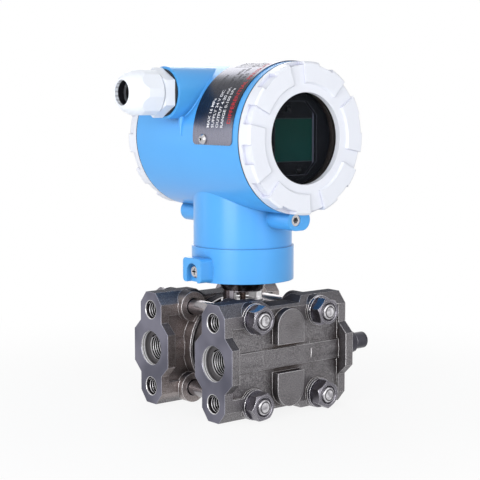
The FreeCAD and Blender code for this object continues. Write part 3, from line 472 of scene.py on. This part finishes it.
def plate_metal():
    """Printed nameplate: satin sheet brushed along its length, darker in the middle band."""
    mix = Finish("plate_metal", (0.12, 0.12, 0.15), 0.28, Metallic=0.85)
    x, y, z = mix.spot(barrel)
    angle = z.angle_to(x * -1)
    brushing = mix.add("ShaderNodeTexNoise", None, {
        "Vector": mix.add("ShaderNodeCombineXYZ", None, {0: angle * 4, 1: y * 2600}),
        "Scale": 1.0, "Detail": 2.0})
    tone = mix.blend(brushing, (0.15, 0.15, 0.19), (0.23, 0.23, 0.28))
    band = angle.between(math.radians(13), math.radians(52), math.radians(7))
    mix.give("Base Color", mix.blend(band * 0.92, tone, (0.022, 0.024, 0.034)))
    mix.give("Roughness", 0.22 + brushing * 0.12)
    mix.relief(brushing, 0.01 * MM, 0.1 * MM)
    return mix.material


def bezel_plastic():
    """Black bezel, with the panel's dark green border, a lighter painted highlight on the step of
    its sunk floor and painted highlights on its edges.
    """
    left, right = panel_low.x - 1.9 * MM, panel_high.x + 0.8 * MM
    mix = Finish("bezel_plastic", (0.007, 0.007, 0.010), 0.45, Specular_IOR_Level=0.05)
    x, y, z = mix.spot()
    sunk = y.between(panel_low.y - 0.3 * MM, panel_low.y + 0.1 * MM, 0.05 * MM)
    tall = z.between(panel_low.z, panel_high.z, 0.05 * MM) * sunk
    border = x.between(left, right, 0.05 * MM) * tall
    # Painted highlight: a lighter band on the sunk floor beside the panel.
    step_highlight = x.between(right + 0.1 * MM, right + 1.5 * MM, 0.1 * MM) * sunk
    # Painted highlight: the edges are lightened to the rim colour.
    tone = mix.blend(mix.edges(0.5 * MM), (0.006, 0.006, 0.009), PLASTIC_RIM)
    tone = mix.blend(step_highlight, tone, (0.075, 0.078, 0.11))
    mix.give("Base Color", mix.blend(border, tone, SCREEN))
    mix.give("Roughness", 0.42 + mix.grain(1500, 3, 0.6) * 0.1)
    return mix.material


def screen_glass():
    """Unlit liquid crystal panel: deep green, faintly banded."""
    mix = Finish("screen", SCREEN, 0.45, Specular_IOR_Level=0.06)
    x, y, z = mix.spot(barrel)
    upper = z.above(0.0, 12 * MM)
    mix.give("Base Color", mix.blend(upper, (0.003, 0.032, 0.030), (0.003, 0.028, 0.023)))
    return mix.material


def clear_glass():
    """Window glass: a faint green veil over the dark inside."""
    return Finish("clear_glass", (0.02, 0.03, 0.03), 0.02, Alpha=0.05,
                  Specular_IOR_Level=0.0).material


def ink(name, colour):
    """Print on the nameplate."""
    mix = Finish(name, colour, 0.5)
    mix.give("Roughness", 0.5 + mix.grain(2000, 2) * 0.1)
    return mix.material


finishes = {
    "cast_steel": cast_steel(),
    "machined_steel": machined_steel(),
    "bright_steel": machined_steel("bright_steel", (0.22, 0.21, 0.24), 0.25, edge=0.35 * MM,
                                   bright=(0.95, 0.94, 0.96), socket_depth=2.0 * MM),
    "neck_steel": neck_steel(),
    "soft_seal": moulded("soft_seal", (0.004, 0.004, 0.006), (0.012, 0.012, 0.016), 0.45,
                         depth=0.02 * MM),
    "blue_paint": enamel("blue_paint", (0.072, 0.355, 0.80), (0.082, 0.385, 0.84),
                         (0.020, 0.115, 0.30)),
    "white_paint": enamel("white_paint", (0.735, 0.76, 0.84), (0.78, 0.805, 0.875),
                          (0.55, 0.56, 0.69), roughness=0.3),
    "plate_metal": plate_metal(),
    "white_nylon": moulded("white_nylon", WHITE_NYLON_LOW, WHITE_NYLON_HIGH, 0.34),
    "black_plastic": moulded("black_plastic", (0.004, 0.004, 0.006), (0.009, 0.008, 0.013), 0.5,
                             rim=PLASTIC_RIM, Specular_IOR_Level=0.05),
    "screen": screen_glass(),
    "board_green": moulded("board_green", (0.01, 0.06, 0.03), (0.015, 0.09, 0.04), 0.4),
    "clear_glass": clear_glass(),
}
screw_steel = machined_steel("screw_steel", (0.66, 0.65, 0.67), 0.2, edge=0.2 * MM,
                             bright=(0.95, 0.95, 0.95), socket_depth=1.6 * MM)
vent_steel = machined_steel("vent_steel", (0.085, 0.083, 0.10), 0.28, edge=0.5 * MM,
                            bright=(0.42, 0.41, 0.45))
own_finish = {
    "flange_studs": stud_steel(),
    "lead_tube": machined_steel("lead_steel", (0.13, 0.095, 0.085), 0.25),
    "display_screws": machined_steel("blackened_steel", (0.02, 0.02, 0.024), 0.4,
                                     edge=0.2 * MM, bright=(0.10, 0.10, 0.11)),
    "window_retainer": moulded("retainer", (0.022, 0.018, 0.018), (0.050, 0.040, 0.038), 0.35),
    "display_bezel": bezel_plastic(),
    "gland_nut": gland_nylon(),
    **dict.fromkeys(("nameplate_screws", "ground_screw", "cover_lock_screws"), screw_steel),
    **dict.fromkeys(("vent_seat_high", "vent_seat_low", "vent_screw_high", "vent_screw_low"),
                    vent_steel),
}
for part in record["subparts"]:
    for place in nodes[part["node"]].material_slots:
        place.material = own_finish.get(part["node"]) or finishes[part["material_slot"]]
nodes["window_glass"].visible_shadow = False


# ---------------------------------------------------------------- making pieces
def finish_piece(name, shape, body, slot, material=None, smooth=True):
    """Turn a bmesh into an object that rides on a body."""
    mesh = bpy.data.meshes.new(name)
    shape.to_mesh(mesh)
    shape.free()
    for face in mesh.polygons:
        face.use_smooth = smooth
    piece = bpy.data.objects.new(name, mesh)
    bpy.context.scene.collection.objects.link(piece)
    mesh.materials.append(material or finishes[slot])
    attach(piece, body)


def add_curve(shape, line):
    """Add a curve's or a text's faces to a bmesh."""
    holder = bpy.data.objects.new("curve_holder", line)
    shape.from_mesh(bpy.data.meshes.new_from_object(holder))
    bpy.data.objects.remove(holder)


def settle_order(items, place):
    """Put a bmesh's points or faces in order of place, so that each run orders them alike."""
    ordered = sorted(items, key=lambda item: tuple(place(item)))
    rank = {item: i for i, item in enumerate(ordered)}
    items.sort(key=rank.get)


def thread(name, start, radius, depth, pitch, turns, steps):
    """The helical wall of a screw thread cut inward from a radius, running along +X from a start."""
    along = Vector((1, 0, 0))
    side = along.orthogonal().normalized()
    root = radius - depth
    profile = ((radius, 0.0), (radius, 0.12), (root, 0.45), (root, 0.55), (radius, 0.88),
               (radius, 1.0))
    shape = bmesh.new()
    points = [shape.verts.new(start + side * out + along * (pitch * part))
              for out, part in profile]
    edges = [shape.edges.new(pair) for pair in zip(points, points[1:])]
    bmesh.ops.spin(shape, geom=points + edges, cent=start, axis=along,
                   dvec=along * (pitch / steps), angle=2 * math.pi * turns, steps=steps * turns,
                   use_duplicate=False)
    bmesh.ops.remove_doubles(shape, verts=shape.verts, dist=1e-6)
    bmesh.ops.recalc_face_normals(shape, faces=shape.faces)
    first = min(shape.faces, key=lambda face: (face.calc_center_median() - start).length)
    inward = start - first.calc_center_median()
    if first.normal.dot(inward - along * inward.dot(along)) < 0:
        bmesh.ops.reverse_faces(shape, faces=shape.faces)
    settle_order(shape.verts, lambda vertex: vertex.co)
    settle_order(shape.faces, lambda face: face.calc_center_median())
    steel = cut_thread(f"{name}_steel", start, root, radius)
    finish_piece(name, shape, "sensor_body", "machined_steel", steel)


def bead(name, path, widths, body, slot):
    """A raised line along a path, half sunk in what it runs on, with a half width at each point."""
    line = bpy.data.curves.new(name, "CURVE")
    line.dimensions, line.bevel_depth, line.bevel_resolution = "3D", 1.0, 3
    line.use_fill_caps = True
    spline = line.splines.new("POLY")
    spline.points.add(len(path) - 1)
    for point, place, width in zip(spline.points, path, widths):
        point.co, point.radius = (*place, 1), width
    shape = bmesh.new()
    add_curve(shape, line)
    finish_piece(name, shape, body, slot)


def barrel_side(z):
    """X of the barrel's -X side at a height."""
    return barrel.x - math.sqrt(barrel_radius ** 2 - (z - barrel.z) ** 2)


OFF_THE_WALL = 0.01 * MM  # gap that keeps a thread clear of its drilled hole


def port_threads():
    """The pipe thread of each process port."""
    for port in ("high_pressure_port", "low_pressure_port"):
        mount = mounts[port]
        radius, length = mount["dims"]["r_mm"] * MM, mount["dims"]["length_mm"] * MM
        start = Vector(mount["pos_m"]) - Vector((length / 2 - 0.1 * MM, 0, 0))
        thread(f"{port}_thread", start, radius - OFF_THE_WALL,
               depth=0.9 * MM, pitch=1.4 * MM, turns=9, steps=40)


def manifold_threads():
    """The threads of the four holes that a manifold bolts to."""
    bolts = mounts["manifold_bolts"]
    half_y, half_z = (bolts["dims"][key] * MM / 2 for key in ("spacing_x_mm", "spacing_y_mm"))
    radius = bolts["dims"]["hole_r_mm"] * MM - OFF_THE_WALL
    for i, (side_y, side_z) in enumerate(((-1, -1), (-1, 1), (1, -1), (1, 1))):
        start = Vector(bolts["pos_m"]) + Vector((0.3 * MM, side_y * half_y, side_z * half_z))
        thread(f"manifold_thread_{i}", start, radius,
               depth=0.85 * MM, pitch=1.5 * MM, turns=7, steps=32)


def casting_marks():
    """Parting line of the casting: a bead where the entry boss meets the barrel, and a rib on it."""
    boss_radius = 13.4 * MM
    path = []
    for step in range(25):
        turn = math.radians(-62 + 4 * step)
        z = entry.z + boss_radius * math.sin(turn)
        path.append((barrel_side(z), entry.y - boss_radius * math.cos(turn), z))
    bead("parting_bead", path, [0.45 * MM] * len(path), "housing", "blue_paint")

    path, widths = [], []
    for step in range(9):
        y, z = (3.8 - 0.11 * step) * MM, barrel.z + (11.4 - 1.3 * step) * MM
        width, proud = (1.9 - 0.17 * step) * MM, (2.1 - 0.2 * step) * MM
        path.append((barrel_side(z) + width - proud, y, z))
        widths.append(width)
    bead("parting_rib", path, widths, "housing", "blue_paint")


def seal_lips():
    """The lip of each cover seal, which shows in the joint of barrel and cover and goes with it."""
    for side in ("front", "rear"):
        low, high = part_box(f"{side}_cover_seal")
        centre, half = (low + high) / 2, (high.y - low.y) / 2
        radius = (high.x - low.x) / 2 + 0.78 * MM - half
        turns = [math.radians(5 * step) for step in range(73)]
        path = [centre + radius * Vector((math.cos(turn), 0, math.sin(turn))) for turn in turns]
        bead(f"{side}_seal_lip", path, [half * 0.98] * len(path), f"{side}_cover_travel",
             "soft_seal")


port_threads()
manifold_threads()
casting_marks()
seal_lips()


# ---------------------------------------------------------------- nameplate print
TABLE_TOP_DEG, TABLE_SPLIT_DEG, TABLE_END_DEG = 66, 84, 112
TABLE_ROWS = (("MIN", "0"), ("SPAN", "100"), ("MAX", "160"), ("TAG", "3 2 1"), ("DATE", "05 24"),
              ("UNIT", "kPa"))
LINE_WIDTH, PRINT_PROUD = 0.3 * MM, 0.02 * MM


def round_plate(degrees):
    """Distance round the plate from the barrel's -X side."""
    return math.radians(degrees) * plate_radius


def bend(shape):
    """Wrap flat print onto the plate: X is the distance round the barrel, Y the barrel's own."""
    out = plate_radius + PRINT_PROUD
    for vertex in shape.verts:
        angle = vertex.co.x / plate_radius
        vertex.co = Vector((barrel.x - out * math.cos(angle), vertex.co.y,
                            barrel.z + out * math.sin(angle)))
    shape.normal_update()
    inward = []
    for face in shape.faces:
        outward = face.calc_center_median() - barrel
        if face.normal.dot(Vector((outward.x, 0, outward.z))) < 0:
            inward.append(face)
    bmesh.ops.reverse_faces(shape, faces=inward)


def bar(shape, start, end, y_low, y_high):
    """A printed bar between two distances round the barrel, cut often enough to follow it."""
    cuts = max(1, int((end - start) / (1.5 * MM)))
    made = bmesh.ops.create_grid(shape, x_segments=cuts, y_segments=1, size=0.5)
    bmesh.ops.scale(shape, vec=(end - start, y_high - y_low, 1), verts=made["verts"])
    bmesh.ops.translate(shape, vec=((start + end) / 2, (y_low + y_high) / 2, 0),
                        verts=made["verts"])


def words(shape, text, degrees, y, height):
    """Lettering that reads round the barrel from an angle and a Y, its feet toward the display."""
    line = bpy.data.curves.new("words", "FONT")
    capitals = 0.7  # height of a capital for a font size of 1
    line.body, line.size, line.resolution_u = text, height / capitals, 2
    line.offset = 0.016 * height
    before = set(shape.verts)
    add_curve(shape, line)
    for vertex in set(shape.verts) - before:
        vertex.co = Vector((round_plate(degrees) + vertex.co.x, y + vertex.co.y, 0))


def print_plate():
    """Generic ratings on the nameplate: a red heading, white lines, dark lines and a table."""
    front = plate_low.y
    white, dark, red = (bmesh.new() for _ in range(3))
    words(red, "DIFFERENTIAL PRESSURE", 11, front + 2.1 * MM, 2.7 * MM)
    ratings = ("RANGE 0-100 kPa", "OUTPUT 4-20 mA", "SUPPLY 24 V DC", "MAX 16 MPa")
    for row, text in enumerate(ratings):
        words(white, text, 8, front + (7.6 + 3.6 * row) * MM, 2.0 * MM)
    limits = ("0.1 0.2 0.5", "TEMP -40 +85 C", "1/2 NPT M20", "IP 67", "LRV URV")
    for row, text in enumerate(limits):
        words(dark, text, 36, front + (7.0 + 3.6 * row) * MM, 2.3 * MM)

    table_low, table_high, row_height = front + 4.4 * MM, front + 25.7 * MM, 3.5 * MM
    for row in range(len(TABLE_ROWS) + 1):
        y = table_low + row * row_height
        bar(dark, round_plate(TABLE_TOP_DEG), round_plate(TABLE_END_DEG), y, y + LINE_WIDTH)
    for row, (label, value) in enumerate(TABLE_ROWS):
        y = table_low + row * row_height + 1.0 * MM
        words(dark, label, TABLE_TOP_DEG + 2, y, 1.7 * MM)
        words(dark, value, TABLE_SPLIT_DEG + 4, y, 1.7 * MM)
    for angle in (TABLE_TOP_DEG, TABLE_SPLIT_DEG, TABLE_END_DEG):
        bar(dark, round_plate(angle), round_plate(angle) + LINE_WIDTH, table_low, table_high)

    for name, shape, colour in (("print_white", white, (0.80, 0.80, 0.84)),
                                ("print_dark", dark, (0.02, 0.02, 0.03)),
                                ("print_red", red, (0.50, 0.010, 0.018))):
        bend(shape)
        finish_piece(name, shape, "housing", "plate_metal", ink(name, colour), smooth=False)


print_plate()


# ---------------------------------------------------------------- floor and backdrop
SKY_ON_OBJECT, WHITE = 0.38, 1.0
NEAR_FLOOR_GLOW, GLOW_RADIUS, GLOW_RAMP = 0.86, 0.19, 0.11


def pale_world():
    """White where it is seen, and a plain soft sky as light on the object."""
    world = bpy.data.worlds.new("studio")
    bpy.context.scene.world = world
    tree = Tree(world)
    sky = tree.nodes["Background"].inputs
    tree.feed(sky["Color"], (1, 1, 1))
    tree.feed(sky["Strength"], tree.add("ShaderNodeMapRange", None, {
        "Value": tree.background_seen(), "To Min": SKY_ON_OBJECT, "To Max": WHITE}))


def pale_floor():
    """A wide sheet of white paper that keeps the object's shadow."""
    shape = bmesh.new()
    bmesh.ops.create_grid(shape, x_segments=1, y_segments=1, size=3.0)
    bmesh.ops.translate(shape, vec=(0, 0, floor_z - 0.05 * MM), verts=shape.verts)
    mesh = bpy.data.meshes.new("floor")
    shape.to_mesh(mesh)
    shape.free()
    floor = bpy.data.objects.new("floor", mesh)
    bpy.context.scene.collection.objects.link(floor)

    paper = Finish("paper", (0.93, 0.93, 0.93), 0.9)
    glow = paper.add("ShaderNodeEmission", None, {"Color": (1, 1, 1), "Strength": WHITE})
    x, y, z = paper.spot((barrel.x, barrel.y + 0.05, floor_z))
    away = x.length_with(y).above(GLOW_RADIUS, GLOW_RAMP)
    glowing = paper.background_seen() * (NEAR_FLOOR_GLOW + away * (WHITE - NEAR_FLOOR_GLOW))
    both = paper.add("ShaderNodeMixShader", None, {
        0: glowing, 1: Flow(paper, paper.shader.outputs[0]), 2: glow})
    paper.feed(paper.nodes["Material Output"].inputs["Surface"], both)
    mesh.materials.append(paper.material)


pale_world()
pale_floor()
